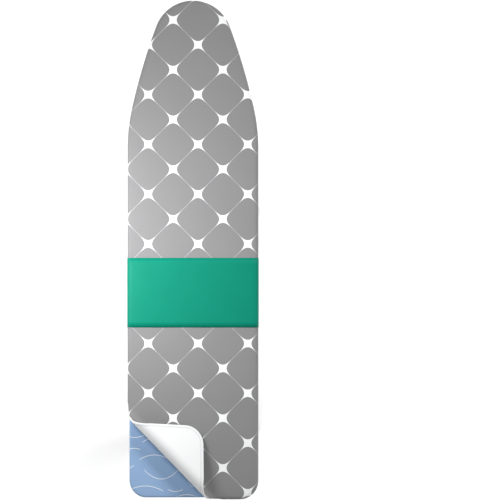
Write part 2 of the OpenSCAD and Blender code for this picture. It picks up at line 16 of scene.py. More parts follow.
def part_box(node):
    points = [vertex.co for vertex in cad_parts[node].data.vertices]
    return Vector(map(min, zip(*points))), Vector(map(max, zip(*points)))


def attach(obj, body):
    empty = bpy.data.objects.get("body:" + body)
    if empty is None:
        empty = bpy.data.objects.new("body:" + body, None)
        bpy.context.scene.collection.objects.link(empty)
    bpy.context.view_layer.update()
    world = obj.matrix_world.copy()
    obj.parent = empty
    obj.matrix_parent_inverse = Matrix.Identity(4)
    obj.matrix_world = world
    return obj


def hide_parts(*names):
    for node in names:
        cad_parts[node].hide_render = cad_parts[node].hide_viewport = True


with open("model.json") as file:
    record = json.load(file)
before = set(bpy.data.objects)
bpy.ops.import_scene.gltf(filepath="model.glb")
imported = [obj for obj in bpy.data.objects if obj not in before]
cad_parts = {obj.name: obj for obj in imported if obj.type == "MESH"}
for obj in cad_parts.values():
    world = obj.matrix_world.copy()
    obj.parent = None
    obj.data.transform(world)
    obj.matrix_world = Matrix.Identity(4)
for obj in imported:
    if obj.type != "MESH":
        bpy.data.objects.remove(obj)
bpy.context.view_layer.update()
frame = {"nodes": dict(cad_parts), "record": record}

MM = 0.001
nodes = frame["nodes"]
print("CAD nodes:", len(nodes))

# %% [markdown]
# ## The camera and the light
# The board is seen straight from above, from far away, so that its sides hardly show and its outline
# keeps its true proportions. The nose points up in the picture. A long lens does that: at 5 m from the
# ironing surface it takes in just the board's length. The Standard view keeps colours as they are
# given, so that the white print stays white and the band stays a clean green.

# %% Camera
board_low, board_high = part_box("grey_cover")
board_length = board_high.y - board_low.y
board_top = board_high.z
CAMERA_X = 0.1306
CAMERA_AWAY = 5.0

camera = bpy.data.objects.new("camera", bpy.data.cameras.new("camera"))
bpy.context.scene.collection.objects.link(camera)
camera.location = (CAMERA_X, (board_low.y + board_high.y) / 2, board_top + CAMERA_AWAY)
camera.rotation_euler = (0, 0, 0)
camera.data.sensor_width = 36
camera.data.lens = 36 * CAMERA_AWAY / board_length
camera.data.clip_end = 50
bpy.context.scene.camera = camera
bpy.context.scene.view_settings.view_transform = "Standard"
print("lens", round(camera.data.lens, 1), "mm")

# %% [markdown]
# Soft boxes are large area lights. The key hangs low and close on the left, so the cloth is brightest
# there and falls off to the right and to both ends. A second one stands far off beyond the nose, on
# the right: it rakes along the board and leaves the near side of the rolled corner a little darker.
# Weak ones fill in. Two more shine only on the floor, which keeps it pale and lights the frame from
# below.

# %% Lights and floor
def soft_box(name, place, look_at, size, watts):
    """A square area light, turned to look at a point, that the camera doesn't see."""
    light = bpy.data.lights.new(name, "AREA")
    light.shape, light.size, light.energy = "SQUARE", size, watts
    lamp = bpy.data.objects.new(name, light)
    bpy.context.scene.collection.objects.link(lamp)
    lamp.location = place
    lamp.rotation_euler = (Vector(look_at) - Vector(place)).to_track_quat("-Z", "Y").to_euler()
    lamp.visible_camera = False
    return lamp


soft_box("key_light", (-0.40, 0.035, 1.28), (0, 0.02, 0.85), 0.3, 5.3)
soft_box("nose_light", (3.2, 3.2, 4.2), (0, 0, 0.85), 1.3, 190)
soft_box("fill_light", (2.4, -1.6, 1.0), (0, 0, 0.5), 2.0, 12)
soft_box("back_light", (-1.8, -2.4, 1.1), (0, 0, 0.5), 2.0, 7)
soft_box("floor_light_left", (-4.3, 0, 0.8), (-4.3, 0, 0), 7.4, 165)
soft_box("floor_light_right", (4.3, 0, 0.8), (4.3, 0, 0), 7.4, 165)

world = bpy.data.worlds.new("studio")
bpy.context.scene.world = world
world.use_nodes = True
world.node_tree.nodes["Background"].inputs["Color"].default_value = (1, 1, 1, 1)
world.node_tree.nodes["Background"].inputs["Strength"].default_value = 0.28

bpy.ops.mesh.primitive_plane_add(size=24, location=(0, 0, 0))
floor = bpy.context.active_object
floor.name = "floor"

# %% [markdown]
# ## Colours and the node helper
# A screen's hex colour is in sRGB, and a shader works in linear light, so each colour passes through
# one function. One more function adds a node, sets it up and links it.

# %% Helpers for materials
def colour(hex_code, alpha=1.0):
    """A colour in linear light, from an sRGB hex code."""
    channels = [int(hex_code[i:i + 2], 16) / 255 for i in (1, 3, 5)]
    linear = [c / 12.92 if c <= 0.04045 else ((c + 0.055) / 1.055) ** 2.4 for c in channels]
    return (*linear, alpha)


def add(tree, kind, inputs=None, **settings):
    """Adds a node to a tree, with its settings, and links or sets its inputs. A node that is given
    as an input stands for its first output."""
    node = tree.nodes.new(kind)
    for name, value in settings.items():
        setattr(node, name, value)
    for key, value in (inputs or {}).items():
        if isinstance(value, bpy.types.Node):
            value = value.outputs[0]
        if isinstance(value, bpy.types.NodeSocket):
            tree.links.new(value, node.inputs[key])
        else:
            node.inputs[key].default_value = value
    return node


def new_material(name, **sockets):
    """A material with a Principled shader, whose sockets are set directly."""
    material = bpy.data.materials.new(name)
    material.use_nodes = True
    shader = material.node_tree.nodes["Principled BSDF"]
    for key, value in sockets.items():
        shader.inputs[key.replace("_", " ")].default_value = value
    return material, material.node_tree, shader

# %% [markdown]
# ## The board's outline
# The rim of the board is a chain of arcs that meet smoothly: a round corner, a straight side, a
# shoulder, a long taper and the nose. All cloth on the board is laid out from it, so it comes first.
# The covers are fitted, which means that each is one sheet shaped to this outline, with a skirt that
# goes down the side and a hem that is drawn together underneath.

# %% The outline
HALF_WIDTH = 150
HALF_LENGTH = 571.5
NOSE_RADIUS = 90
NOSE_ANGLE = 20.4
SHOULDER_ANGLE = 12.4
SHOULDER_RADIUS = 416
CORNER_RADIUS = 43

taper_from = NOSE_RADIUS * math.cos(math.radians(NOSE_ANGLE))
taper_to = HALF_WIDTH - SHOULDER_RADIUS * (1 - math.cos(math.radians(SHOULDER_ANGLE)))
taper_radius = (taper_to - taper_from) / (
    math.cos(math.radians(SHOULDER_ANGLE)) - math.cos(math.radians(NOSE_ANGLE)))
nose_centre = Vector((0, HALF_LENGTH - NOSE_RADIUS))
taper_centre = nose_centre - (taper_radius - NOSE_RADIUS) * Vector(
    (math.cos(math.radians(NOSE_ANGLE)), math.sin(math.radians(NOSE_ANGLE))))
shoulder_centre = Vector((HALF_WIDTH - SHOULDER_RADIUS, taper_centre.y
                          + (taper_radius - SHOULDER_RADIUS) * math.sin(math.radians(SHOULDER_ANGLE))))
corner_centre = Vector((HALF_WIDTH - CORNER_RADIUS, CORNER_RADIUS - HALF_LENGTH))


def stretch(start, end, step):
    """Points along a straight line, without its end."""
    count = max(1, round((end - start).length / step))
    return [start.lerp(end, i / count) for i in range(count)]


def bend(centre, radius, first, last, step):
    """(point, outward direction) pairs along an arc, without its end."""
    count = max(3, round(abs(math.radians(last - first)) * radius / step))
    angles = [math.radians(first + (last - first) * i / count) for i in range(count)]
    return [(centre + radius * Vector((math.cos(a), math.sin(a))), Vector((math.cos(a), math.sin(a))))
            for a in angles]


def outline(step):
    """The board's outline from the middle of the wide end to the tip of the nose and back, in mm:
    for each place the point, the outward direction, and the point on the board's middle line that
    the cloth between them runs to."""
    half = []
    for p in stretch(Vector((0, -HALF_LENGTH)), Vector((corner_centre.x, -HALF_LENGTH)), step):
        half.append((p, Vector((0, -1)), Vector((p.x, p.y + HALF_WIDTH - p.x))))
    for p, n in bend(corner_centre, CORNER_RADIUS, -90, 0, step * 0.6):
        half.append((p, n, corner_centre.copy()))
    mitre_end = Vector((HALF_WIDTH, corner_centre.y + corner_centre.x))
    for p in stretch(Vector((HALF_WIDTH, corner_centre.y)), mitre_end, step):
        half.append((p, Vector((1, 0)), Vector((HALF_WIDTH - p.y - HALF_LENGTH, p.y))))
    for p in stretch(mitre_end, Vector((HALF_WIDTH, shoulder_centre.y)), step):
        half.append((p, Vector((1, 0)), Vector((0, p.y))))
    for centre, radius, first, last in (
            (shoulder_centre, SHOULDER_RADIUS, 0, SHOULDER_ANGLE),
            (taper_centre, taper_radius, SHOULDER_ANGLE, NOSE_ANGLE)):
        for p, n in bend(centre, radius, first, last, step):
            half.append((p, n, p - n * (p.x / n.x)))
    for p, n in bend(nose_centre, NOSE_RADIUS, NOSE_ANGLE, 90, step * 0.6):
        half.append((p, n, nose_centre.copy()))
    flip = Vector((-1, 1))
    tip = [(Vector((0, HALF_LENGTH)), Vector((0, 1)), nose_centre.copy())]
    return half + tip + [(p * flip, n * flip, m * flip) for p, n, m in half[:0:-1]]


print("outline:", len(outline(6)), "places")

# %% [markdown]
# ## The section of a fitted cover
# Seen end on, a cover lies flat on the board, curves down over the shoulder, falls down the side, and
# turns under. This is one curve, measured along the cloth. Each layer uses the same curve, moved
# inwards by what lies over it, so the layers never meet.

# %% The section
SHOULDER_REACH = 42
CROWN_DROP = 1.8
EDGE_RADIUS = 8.5
SIDE_END = -24.0
UNDER_RADIUS = 4.6
HEM_REACH = 26.8
TOP_STEPS, SIDE_STEPS, UNDER_STEPS, HEM_STEPS = 60, 8, 7, 11


def section_curve():
    """The cover's section from the flat top to the hem, as [inset, height] points in mm."""
    points = []
    for i in range(TOP_STEPS):
        inset = SHOULDER_REACH * (1 - i / TOP_STEPS) ** 1.25
        crown = CROWN_DROP * (1 - inset / SHOULDER_REACH) ** 2.3
        rounding = EDGE_RADIUS - math.sqrt(EDGE_RADIUS ** 2 - max(0, EDGE_RADIUS - inset) ** 2)
        points.append(Vector((inset, -crown - rounding)))
    top = points[-1]
    for i in range(1, SIDE_STEPS + 1):
        points.append(Vector((top.x * (1 - i / SIDE_STEPS),
                              top.y + (SIDE_END - top.y) * i / SIDE_STEPS)))
    under = Vector((UNDER_RADIUS, SIDE_END))
    for i in range(1, UNDER_STEPS + 1):
        a = math.pi / 2 * i / UNDER_STEPS
        points.append(under - UNDER_RADIUS * Vector((math.cos(a), math.sin(a))))
    for i in range(1, HEM_STEPS + 1):
        points.append(Vector((under.x + (HEM_REACH - under.x) * i / HEM_STEPS,
                              SIDE_END - UNDER_RADIUS)))
    return points


SECTION = section_curve()
ALONG = [0.0]
for before, after in zip(SECTION, SECTION[1:]):
    ALONG.append(ALONG[-1] + (after - before).length)
SIDE_DEPTH = SHOULDER_REACH - ALONG[TOP_STEPS + SIDE_STEPS - 1]
CORNER_DEPTH = SHOULDER_REACH - ALONG[TOP_STEPS + SIDE_STEPS + UNDER_STEPS - 1]
HEM_DEPTH = SHOULDER_REACH - ALONG[-1]


def on_section(depth, under, under_hem=None):
    """[inset, height] of the layer that lies under mm below the cover's face, at a depth along the
    cloth: positive is in from the outline, negative is down the skirt. The hem can lie closer."""
    along = SHOULDER_REACH - depth
    if along <= 0:
        return Vector((depth, -under))
    i = 1
    while i < len(SECTION) - 1 and ALONG[i] < along:
        i += 1
    share = (along - ALONG[i - 1]) / (ALONG[i] - ALONG[i - 1])
    point = SECTION[i - 1].lerp(SECTION[i], min(1, share))
    ahead = SECTION[min(i + 1, len(SECTION) - 1)] - SECTION[max(0, i - 2)]
    inward = Vector((-ahead.y, ahead.x)).normalized()
    if under_hem is not None and depth < SIDE_DEPTH:
        turned = min(1, (SIDE_DEPTH - depth) / (SIDE_DEPTH - CORNER_DEPTH))
        under += (under_hem - under) * turned
    return point + inward * under


print("depths:", [round(depth, 1) for depth in (SIDE_DEPTH, CORNER_DEPTH, HEM_DEPTH)])

# %% [markdown]
# ## A fitted layer of cloth
# Each layer is cut flat, as a maker would cut it: rings of points follow the outline, from the middle
# of the board out to the hem. While it is flat, its left corner at the wide end is creased across
# with many straight cuts, so that it can roll. Then every point goes to its place: over the edge by
# the section, or round the roll. The flat cut is kept as the UV map, in metres, so that a print or a
# weave follows the cloth wherever it goes.

# %% Lay a layer of cloth
PEEL_X, PEEL_Y = 185, 191
CURL_RADIUS = 20.6
CURL_TURN = math.radians(204)
CURL_THICKNESS = 4.5
CURL_MIDDLE = CURL_RADIUS - CURL_THICKNESS / 2
CURL_HEIGHT = board_top / MM + CURL_RADIUS - CURL_THICKNESS
PEEL_ACROSS = Vector((1 / PEEL_X, 1 / PEEL_Y)).normalized()
PEEL_ALONG = Vector((PEEL_ACROSS.y, -PEEL_ACROSS.x))
SQUARE_CORNER = Vector((-HALF_WIDTH, -HALF_LENGTH))
FOLD_AWAY = 1 / Vector((1 / PEEL_X, 1 / PEEL_Y)).length + CURL_RADIUS
BLEND = 40
GATHER_PITCH = 13
CREASE_FINE, CREASE_FINE_TO, CREASE_COARSE, CREASE_TO = 3, 69, 8, 136
CREASE_SNAP = 0.15
MIDDLE_MERGE, POLE_REACH = 0.3, 1.4


def ease(x):
    """A smooth step from 0 to 1."""
    x = min(1, max(0, x))
    return x * x * (3 - 2 * x)


def past_fold(flat):
    """How far a point of the flat cut lies past the fold, towards the corner."""
    return FOLD_AWAY - PEEL_ACROSS.dot(flat - SQUARE_CORNER)


def on_roll(flat, under):
    """The place in the roll of a point of the flat cut, under mm below the cover's face."""
    s = past_fold(flat)
    turn = min(CURL_TURN, s / CURL_MIDDLE)
    run = s - CURL_MIDDLE * turn
    radius = CURL_MIDDLE + under - CURL_THICKNESS / 2
    reach = radius * math.sin(turn) + run * math.cos(turn)
    height = CURL_HEIGHT - radius * math.cos(turn) + run * math.sin(turn)
    spot = (SQUARE_CORNER + PEEL_ACROSS * (FOLD_AWAY - reach)
            + PEEL_ALONG * PEEL_ALONG.dot(flat - SQUARE_CORNER))
    return Vector((spot.x, spot.y, height))


def gather_wave(around):
    """The gathers along the hem, from -1 to 1, at a distance round the outline."""
    wander = 2.4 * noise.noise(Vector((around / 23, 7.5, 0)))
    return math.sin(2 * math.pi * around / GATHER_PITCH + wander)


def ripple(flat, depth, around):
    """How far the cloth rises where it isn't pulled tight, in mm: long soft waves on the flat, and
    gathers that deepen towards the drawn hem."""
    soft = noise.noise(Vector((flat.x / 46, flat.y / 46, 3.1))) * 0.5
    soft += noise.noise(Vector((flat.x / 19, flat.y / 19, 8.7))) * 0.16
    soft *= ease((depth - 4) / 20)
    gather = ease((SIDE_DEPTH - depth) / (SIDE_DEPTH - HEM_DEPTH))
    deep = 0.8 + 0.5 * noise.noise(Vector((around / 31, 0.5, 0)))
    return soft - gather * deep * (1 + gather_wave(around)) * 0.6


def into_scene(mesh, name):
    """Turns a finished bmesh into an object."""
    data = bpy.data.meshes.new(name)
    mesh.to_mesh(data)
    mesh.free()
    piece = bpy.data.objects.new(name, data)
    bpy.context.scene.collection.objects.link(piece)
    return piece


def lay_cloth(name, under, depths, steps, step=6, rolled=False, under_hem=None, rippled=True):
    """An open mesh of one layer: rings of points at the given depths, then steps more to the middle.
    Where it is rolled, the corner past the fold is rolled back and has no skirt."""
    places = outline(step)
    mesh = bmesh.new()
    near = [mesh.verts.layers.float.new(key) for key in ("depth", "nx", "ny", "around")]
    uv = mesh.loops.layers.uv.new("cut")
    rings = []
    around = 0
    for k, (point, out, middle) in enumerate(places):
        around += (point - places[k - 1][0]).length if k else 0
        reach = (point - middle).length
        last = depths[-1]
        column = []
        for depth in [*depths, *(last + (reach - last) * i / steps for i in range(1, steps + 1))]:
            flat = point - out * depth
            if depth > last:
                flat = (point - out * last).lerp(middle, (depth - last) / (reach - last))
            vert = mesh.verts.new((flat.x, flat.y, 0))
            for layer, value in zip(near, (depth, out.x, out.y, around)):
                vert[layer] = value
            column.append(vert)
        rings.append(column)
    for left, right in zip(rings, rings[1:] + rings[:1]):
        for i in range(len(left) - 1):
            mesh.faces.new((left[i], right[i], right[i + 1], left[i + 1]))
    inner = [v for v in mesh.verts if v[near[0]] > depths[-1]]
    bmesh.ops.remove_doubles(mesh, verts=inner, dist=MIDDLE_MERGE)
    for hand in (-1, 1):
        pole = Vector((hand * corner_centre.x, corner_centre.y, 0))
        at_pole = [v for v in mesh.verts if (v.co - pole).length < POLE_REACH]
        bmesh.ops.pointmerge(mesh, verts=at_pole, merge_co=pole)

    if rolled:
        for s in (*range(0, CREASE_FINE_TO, CREASE_FINE),
                  *range(CREASE_FINE_TO, CREASE_TO, CREASE_COARSE)):
            bmesh.ops.bisect_plane(
                mesh, geom=mesh.verts[:] + mesh.edges[:] + mesh.faces[:], dist=CREASE_SNAP,
                plane_co=(*(SQUARE_CORNER + PEEL_ACROSS * (FOLD_AWAY - s)), 0),
                plane_no=(*PEEL_ACROSS, 0))
        gone = []
        for face in mesh.faces:
            centre = face.calc_center_median()
            depth = sum(v[near[0]] for v in face.verts) / len(face.verts)
            if past_fold(centre.xy) > 0 and depth < 0:
                gone.append(face)
        bmesh.ops.delete(mesh, geom=gone, context="FACES")
    bmesh.ops.triangulate(mesh, faces=[f for f in mesh.faces if len(f.verts) > 4])
    for face in mesh.faces:
        face.smooth = True
        for loop in face.loops:
            loop[uv].uv = loop.vert.co.xy * MM

    sum(f.calc_area() for f in mesh.faces) * MM ** 2
    for vert in mesh.verts:
        depth, nx, ny, around = (vert[layer] for layer in near)
        flat = vert.co.xy
        out = Vector((nx, ny))
        shift, height = Vector((0, 0)), -under
        if depth < SHOULDER_REACH:
            inset, height = on_section(depth, under, under_hem)
            shift = -out * (inset - depth)
        if rippled:
            height += ripple(flat, depth, around)
        s = past_fold(flat)
        if rolled and s > 0:
            fade = 1 - ease(s / BLEND)
            place = on_roll(flat, under)
            place += Vector((*shift, height + under)) * fade
        else:
            place = Vector((*(flat + shift), board_top / MM + height))
        vert.co = place * MM
    if sum(f.normal.z for f in mesh.faces if abs(f.calc_center_median().x) < 0.05) < 0:
        bmesh.ops.reverse_faces(mesh, faces=mesh.faces[:])
    for layer in near[2:0:-1]:
        mesh.verts.layers.float.remove(layer)
    return into_scene(mesh, name)


def thicken(piece, thickness):
    """Gives a laid sheet its thickness, downwards from its face."""
    bpy.ops.object.select_all(action="DESELECT")
    bpy.context.view_layer.objects.active = piece
    piece.select_set(True)
    solid = piece.modifiers.new("thickness", "SOLIDIFY")
    solid.thickness, solid.offset, solid.use_even_offset = thickness * MM, -1, False
    bpy.ops.object.modifier_apply(modifier=solid.name)


TURN = [HEM_DEPTH, HEM_DEPTH + 3, HEM_DEPTH + 7, HEM_DEPTH + 13, CORNER_DEPTH, CORNER_DEPTH + 2.4,
        CORNER_DEPTH + 4.8, SIDE_DEPTH]
SIDE = [SIDE_DEPTH + 3, SIDE_DEPTH + 8, -6]
EDGE = [-2, 0, 2, 4, 6, 9, 13, 19, 27, 35, 42.5]

# %% [markdown]
# ## The padded cover
# The cover is made of two layers that are sewn together at the hem: a printed cotton face, and a thick
# white flannel backing that softens the board. At the left corner of the wide end it is rolled back,
# so its white backing shows. Both layers are laid by the same function, the backing 1 mm further in,
# so they roll back together.

# %% The cover's face and backing
FACE, BACKING_AT, BACKING = 0.8, 1.0, 3.3

cotton = lay_cloth("cotton_cover", 0, TURN + SIDE + EDGE, 9, step=3.4, rolled=True)
thicken(cotton, FACE)
backing = lay_cloth("flannel_backing", BACKING_AT, SIDE + EDGE, 9, step=5, rolled=True)
thicken(backing, BACKING)
for piece in (cotton, backing):
    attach(piece, "board")
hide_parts("grey_cover")
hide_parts("foam_lining", "cover_flap")

# %% [markdown]
# ## The cover underneath
# Below the padded cover the board has a second, plain fitted cover of blue cotton, which only shows
# where the corner is rolled back. It lies nearly 5 mm further in and its hem closes the underside.

# %% The blue cover
UNDER_AT, UNDER_HEM, UNDER_THICK = 4.75, 1.55, 0.7

blue = lay_cloth("blue_under_cover", UNDER_AT, TURN[2:] + SIDE + EDGE, 7, step=4,
                 under_hem=UNDER_HEM, rippled=False)
thicken(blue, UNDER_THICK)
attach(blue, "board")
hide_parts("blue_cover")
print("blue cover:", len(blue.data.vertices), "points")

# %% [markdown]
# ## The felt pad
# Between the blue cover and the steel mesh lies a pad of needled felt. The cover pulls it down over
# the mesh, so seen from below it bulges a little into each diamond opening. Its top is one more layer
# of the same cloth, and its underside is the same rings again, flat on the mesh but for the bulges.

# %% The felt pad
HOLE_LONG, HOLE_WIDE, STRAND = 36, 28, 6
MESH_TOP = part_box("mesh_top")[1].z / MM
BULGE = 1.3
OPEN_TO, OPEN_SLOPE = 0.42, 0.3
FELT_CLEAR, FELT_LEAST = 0.1, 0.4


def felt_underside(x, y):
    """The height of the felt's underside in mm: on the mesh, and bulging down into its openings."""
    p = x / (HOLE_WIDE + STRAND) + y / (HOLE_LONG + STRAND)
    q = x / (HOLE_WIDE + STRAND) - y / (HOLE_LONG + STRAND)
    p, q = abs(p - round(p)), abs(q - round(q))
    return MESH_TOP + FELT_CLEAR - (BULGE * ease((OPEN_TO - p) / OPEN_SLOPE)
                                    * ease((OPEN_TO - q) / OPEN_SLOPE))


felt = lay_cloth("felt_pad_needled", UNDER_AT + UNDER_THICK + 0.25, [1, 3, 5, 8, 12], 24, step=6,
                 rippled=False)
thicken(felt, 1)
face_count = len(felt.data.vertices) // 2
for vert in list(felt.data.vertices)[face_count:]:
    above = felt.data.vertices[vert.index - face_count].co
    vert.co.xy = above.xy
    vert.co.z = min(above.z - FELT_LEAST * MM, felt_underside(above.x / MM, above.y / MM) * MM)
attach(felt, "board")
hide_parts("felt_pad")
print("felt:", len(felt.data.polygons), "faces")

# %% [markdown]
# ## The drawn hem
# The cover's hem is a narrow casing with an elastic in it. It is a soft tube that follows the hem all
# round the underside, swelling and narrowing with the gathers. It is absent at the rolled corner,
# where the cover has come off the board.

# %% The elastic casing
CASING_INSET, CASING_HEIGHT, CASING_RADIUS = 28.4, -27.4, 1.5
CASING_SIDES, CASING_PINCH = 10, 0.22
ROLL_CLEAR = 45

places = outline(3)
casing = bmesh.new()
loops, around = [], 0
for k, (point, out, _) in enumerate(places):
    around += (point - places[k - 1][0]).length if k else 0
    spot = point - out * CASING_INSET
    pinch = 1 + CASING_PINCH * gather_wave(around)
    if past_fold(point + out * ROLL_CLEAR) > 0:
        loops.append(None)
        continue
    ring = []
    for i in range(CASING_SIDES):
        a = 2 * math.pi * i / CASING_SIDES
        sideways, up = math.cos(a) * CASING_RADIUS * 1.1 * pinch, math.sin(a) * CASING_RADIUS * pinch
        ring.append(casing.verts.new((*((spot + out * sideways) * MM),
                                      board_top + (CASING_HEIGHT + up) * MM)))
    loops.append(ring)
for first, second in zip(loops, loops[1:] + loops[:1]):
    if first and second:
        for i in range(CASING_SIDES):
            casing.faces.new((first[i - 1], first[i], second[i], second[i - 1]))
    elif first or second:
        casing.faces.new(first or second)
bmesh.ops.recalc_face_normals(casing, faces=casing.faces[:])
for face in casing.faces:
    face.smooth = len(face.verts) == 4
elastic = into_scene(casing, "elastic_hem")
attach(elastic, "board")
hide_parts("hem_elastic")
print("casing:", len(elastic.data.vertices), "points")

# %% [markdown]
# ## The paper band
# A new board is sold with a wide band of printed paper round its middle, glued to itself below. Paper
# bends only one way, so the band is one strip that follows the cover's section on both sides and
# keeps crisp edges. It lies a little under a millimetre outside the cloth.

# %% The paper band
BAND_FROM, BAND_TO = (v.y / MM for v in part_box("paper_band"))
BAND_THICK = 0.3
BAND_OFF, BAND_OFF_HEM, BAND_ROWS = 0.75, 1.9, 12

strip = bmesh.new()
cut = strip.loops.layers.uv.new("cut")
run = [HEM_DEPTH + 1.0, HEM_DEPTH + 8, HEM_DEPTH + 16] + TURN[4:] + SIDE + EDGE + [70, 100, 130]
left_side = [(depth, on_section(depth, -BAND_OFF, -BAND_OFF_HEM)) for depth in run]
profile = [(-(HALF_WIDTH - depth), -(HALF_WIDTH - p.x), p.y) for depth, p in left_side]
profile += [(0, 0, BAND_OFF)] + [(-a, -x, z) for a, x, z in profile[::-1]]
grid = [[strip.verts.new((x * MM, (BAND_FROM + (BAND_TO - BAND_FROM) * j / BAND_ROWS) * MM,
                          board_top + z * MM)) for a, x, z in profile]
        for j in range(BAND_ROWS + 1)]
for j in range(BAND_ROWS):
    for i in range(len(profile) - 1):
        face = strip.faces.new((grid[j][i], grid[j][i + 1], grid[j + 1][i + 1], grid[j + 1][i]))
        face.smooth = True
        for loop, (a, b) in zip(face.loops, ((i, j), (i + 1, j), (i + 1, j + 1), (i, j + 1))):
            loop[cut].uv = (profile[a][0] * MM, (BAND_TO - BAND_FROM) * b / BAND_ROWS * MM)
band = into_scene(strip, "paper_wrap")
thicken(band, BAND_THICK)
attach(band, "board")
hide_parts("paper_band")

# %% [markdown]
# ## Broken edges on the hard parts
# No real edge is perfectly sharp. A moulded edge has a radius so that it leaves the mould, and a
# turned head is chamfered. Each catches a thin line of light. The CAD parts have sharp edges and must
# not be changed, so each moulded or turned one gets two live modifiers: Weld joins its loose
# triangles, and Bevel rounds the edges that turn more than 38 degrees.

# %% Bevel the CAD parts
BEVEL_FROM = 38
EDGE_ROUNDING = {
    "storage_hook": 1.0, "carriage_block": 1.0, "release_handle": 1.2, "handle_grip": 2.0,
    "clamp_plate": 0.5, "travel_stops": 0.9, "cross_bolts": 0.9, "cross_nuts": 0.6,
    "pivot_bolts": 0.9, "cross_spacers": 0.6, "outer_plugs": 0.8, "inner_plugs": 0.8,
    "axle_clips": 0.3, "bracket_rivets": 0.4, "guide_rod_left": 0.7, "guide_rod_right": 0.7,
    "inner_axle": 0.8,
}
for node, radius in EDGE_ROUNDING.items():
    weld = nodes[node].modifiers.new("weld", "WELD")
    weld.merge_threshold = 0.02 * MM
    bevel = nodes[node].modifiers.new("broken_edge", "BEVEL")
    bevel.width, bevel.segments, bevel.limit_method = radius * MM, 3, "ANGLE"
    bevel.angle_limit = math.radians(BEVEL_FROM)
    bevel.harden_normals = True
print("beveled:", len(EDGE_ROUNDING))

# %% [markdown]
# ## The feet
# Each end of a foot bar wears a moulded cap that grips the floor. It is a turned shape: a collar
# that hugs the tube, a run of soft ribs, and a domed end. So its outline is drawn once, as a chain of
# points, and spun round the bar. The bottom is then sliced off flat, where it stands on the floor.

# %% Foot caps
CAP_LONG, CAP_RADIUS, CAP_END, BAR_RADIUS, RIBS = 34, 15, 2.9, 11, 4
COLLAR, RIB_PITCH, RIB_DEPTH = 3, 5.2, 1.1
RIB = ((0, RIB_DEPTH), (0.7, RIB_DEPTH), (1.3, 0.15), (1.9, 0), (3.3, 0), (3.9, 0.15),
       (4.5, RIB_DEPTH))
DOME_STEPS, DOME_RISE = 8, 0.55
SPIN_STEPS, TREAD_CUT = 40, 0.02


def foot_cap(node, body):
    """A ribbed cap in the place of a CAD cap, turned to the side it is on."""
    low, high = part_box(node)
    side = 1 if low.x > 0 else -1
    outer = high.x if side > 0 else low.x
    centre = Vector((outer, (low.y + high.y) / 2, high.z - CAP_RADIUS * MM))
    outline_points = [(CAP_END, 0), (CAP_END, BAR_RADIUS + 0.1), (CAP_LONG, BAR_RADIUS + 0.1),
                      (CAP_LONG, CAP_RADIUS - 2.2), (CAP_LONG - 0.9, CAP_RADIUS - 1.2)]
    for i in range(RIBS):
        start = CAP_LONG - COLLAR - i * RIB_PITCH
        for away, drop in RIB:
            outline_points.append((start - away, CAP_RADIUS - drop))
    dome = CAP_LONG - COLLAR - RIBS * RIB_PITCH
    for i in range(DOME_STEPS + 1):
        a = math.pi / 2 * i / DOME_STEPS
        outline_points.append((dome * (1 - math.sin(a)),
                               (CAP_RADIUS - RIB_DEPTH - dome * DOME_RISE)
                               + dome * DOME_RISE * math.cos(a)))
    outline_points.append((0, 0))
    bpy.ops.object.select_all(action="DESELECT")
    bpy.ops.mesh.primitive_plane_add(size=MM)
    cap = bpy.context.active_object
    cap.name = node + "_ribbed"
    bpy.ops.object.mode_set(mode="EDIT")
    bpy.ops.mesh.select_all(action="SELECT")
    bpy.ops.mesh.merge(type="CENTER")
    x, r = outline_points[0]
    bpy.ops.transform.translate(value=(-side * x * MM, 0, r * MM))
    for (x0, r0), (x1, r1) in zip(outline_points, outline_points[1:]):
        bpy.ops.mesh.extrude_region_move(
            TRANSFORM_OT_translate={"value": (-side * (x1 - x0) * MM, 0, (r1 - r0) * MM)})
    bpy.ops.mesh.select_all(action="SELECT")
    bpy.ops.mesh.spin(steps=SPIN_STEPS, angle=2 * math.pi, center=(0, 0, 0), axis=(1, 0, 0),
                      dupli=False)
    bpy.ops.mesh.select_all(action="SELECT")
    bpy.ops.mesh.remove_doubles(threshold=0.01 * MM)
    bpy.ops.mesh.select_all(action="SELECT")
    bpy.ops.mesh.bisect(plane_co=(0, 0, -centre.z + TREAD_CUT * MM), plane_no=(0, 0, -1),
                        clear_outer=True)
    bpy.ops.mesh.select_all(action="SELECT")
    bpy.ops.mesh.fill_holes(sides=0)
    bpy.ops.mesh.select_all(action="SELECT")
    bpy.ops.mesh.normals_make_consistent(inside=False)
    bpy.ops.object.mode_set(mode="OBJECT")
    cap.location = centre
    bpy.ops.object.transform_apply(location=True, rotation=True, scale=True)
    bpy.ops.object.shade_smooth_by_angle(angle=math.radians(35))
    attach(cap, body)
    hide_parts(node)
    return cap


caps = [foot_cap(f"{leg}_cap_{hand}", f"{leg}_leg")
        for leg in ("outer", "inner") for hand in ("left", "right")]
print("caps:", [len(cap.data.vertices) for cap in caps])

# %% [markdown]
# ## Printed cotton
# The face of the cover is plain-woven cotton, printed with a grey ground that leaves white stars. The
# ground is a lattice of rounded squares that stand on their corners: where four of them meet, the
# cloth stays white in a small star with hollow sides, joined to the next by a hairline. A rounded
# square is a superellipse, |x|^n + |y|^n, so the whole print is a little arithmetic on the flat cut.
# Cotton is matt with a faint sheen from loose fibres. The threads are drawn 1.6 mm apart, four times
# coarser than real ones, so that they can be seen. A Wave texture makes 20 / 2 pi bands in a unit, so
# its scale is worked out from that.

# %% Printed cotton
STAR_AT = (11.7, 469.1)
HALF_PITCH = 56.9
SQUARENESS = 4.4
SQUARE_SIZE = 0.9955
THREAD = 1.6
BANDS = 2 * math.pi / (20 * THREAD)

